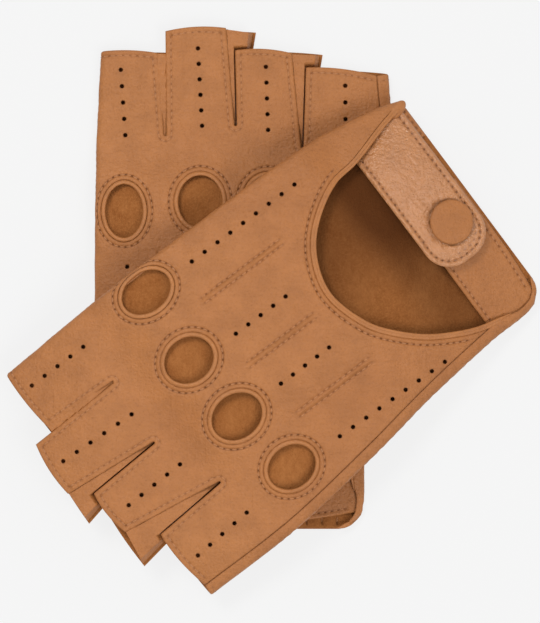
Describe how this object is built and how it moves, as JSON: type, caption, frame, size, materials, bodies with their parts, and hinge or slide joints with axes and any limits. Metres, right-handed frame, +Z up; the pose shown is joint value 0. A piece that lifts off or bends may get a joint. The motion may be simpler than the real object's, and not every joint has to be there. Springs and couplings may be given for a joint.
{
  "type": "leather gloves",
  "caption": "Pair of fingerless leather driving gloves, backs up, one laid across the other, with knuckle holes, perforated backs and snap straps.",
  "frame": {"origin": "centre of the pair's footprint, on the surface that it lies on", "axes": "+Z up; +Y along the right glove's fingers; -X towards the right glove's thumb side"},
  "size_m": [0.1662, 0.1774, 0.0251],
  "materials": {
    "glove_leather": "fine-grained tan nappa, soft sheen, suede flesh side",
    "edge_leather": "rolled and stitched tan nappa edges",
    "strap_leather": "double tan leather, polished grain",
    "suede_lining": "brown suede flesh side",
    "thread": "matched tan sewing thread",
    "elastic": "woven elastic band",
    "snap_brass": "pressed brass, satin"
  },
  "bodies": {
    "right_glove": {"right_back_panel": "glove_leather", "right_palm_panel": "glove_leather", "right_fourchette_index_middle": "glove_leather", "right_fourchette_middle_ring": "glove_leather", "right_fourchette_ring_little": "glove_leather", "right_knuckle_facing_index": "edge_leather", "right_knuckle_facing_middle": "edge_leather", "right_knuckle_facing_ring": "edge_leather", "right_knuckle_facing_little": "edge_leather", "right_cuff_binding": "edge_leather", "right_strap_root": "strap_leather", "right_tab": "strap_leather", "right_snap_stud": "snap_brass", "right_stud_eyelet": "snap_brass", "right_wrist_hem": "suede_lining", "right_wrist_elastic": "elastic"},
    "left_glove": {"left_back_panel": "glove_leather", "left_palm_panel": "glove_leather", "left_fourchette_index_middle": "glove_leather", "left_fourchette_middle_ring": "glove_leather", "left_fourchette_ring_little": "glove_leather", "left_knuckle_facing_index": "edge_leather", "left_knuckle_facing_middle": "edge_leather", "left_knuckle_facing_ring": "edge_leather", "left_knuckle_facing_little": "edge_leather", "left_cuff_binding": "edge_leather", "left_strap_root": "strap_leather", "left_tab": "strap_leather", "left_snap_stud": "snap_brass", "left_stud_eyelet": "snap_brass", "left_wrist_hem": "suede_lining", "left_wrist_elastic": "elastic"},
    "right_strap": {"right_strap": "strap_leather", "right_snap_cap": "snap_brass", "right_snap_cap_cover": "strap_leather", "right_snap_socket": "snap_brass"},
    "right_thumb": {"right_thumb": "glove_leather"},
    "left_strap": {"left_strap": "strap_leather", "left_snap_cap": "snap_brass", "left_snap_cap_cover": "strap_leather", "left_snap_socket": "snap_brass"},
    "left_thumb": {"left_thumb": "glove_leather"}
  },
  "joints": [
    {"name": "left_glove_lift", "type": "slide", "parent": "right_glove", "child": "left_glove", "axis": [0, 0, 1], "range_m": [0, 0.12]},
    {"name": "left_strap_open", "type": "hinge", "parent": "left_glove", "child": "left_strap", "pos_m": [0.03624, 0.05007, 0.01698], "axis": [-0.7853, -0.589, 0.1908], "range_deg": [0, 115]},
    {"name": "left_thumb_swing", "type": "hinge", "parent": "left_glove", "child": "left_thumb", "pos_m": [0.0032, 0.02904, 0.0148], "axis": [0, 0, -1], "range_deg": [0, 70]},
    {"name": "right_strap_open", "type": "hinge", "parent": "right_glove", "child": "right_strap", "pos_m": [-0.03819, -0.05621, 0.0047], "axis": [0, -1, 0], "range_deg": [0, 115]},
    {"name": "right_thumb_swing", "type": "hinge", "parent": "right_glove", "child": "right_thumb", "pos_m": [-0.04119, -0.01716, 0.0014], "axis": [0, 0, 1], "range_deg": [0, 70]}
  ],
  "couplings": [
    {"joint": "right_strap_open", "follows": "left_glove_lift", "rad_per_m": 16.726}
  ]
}
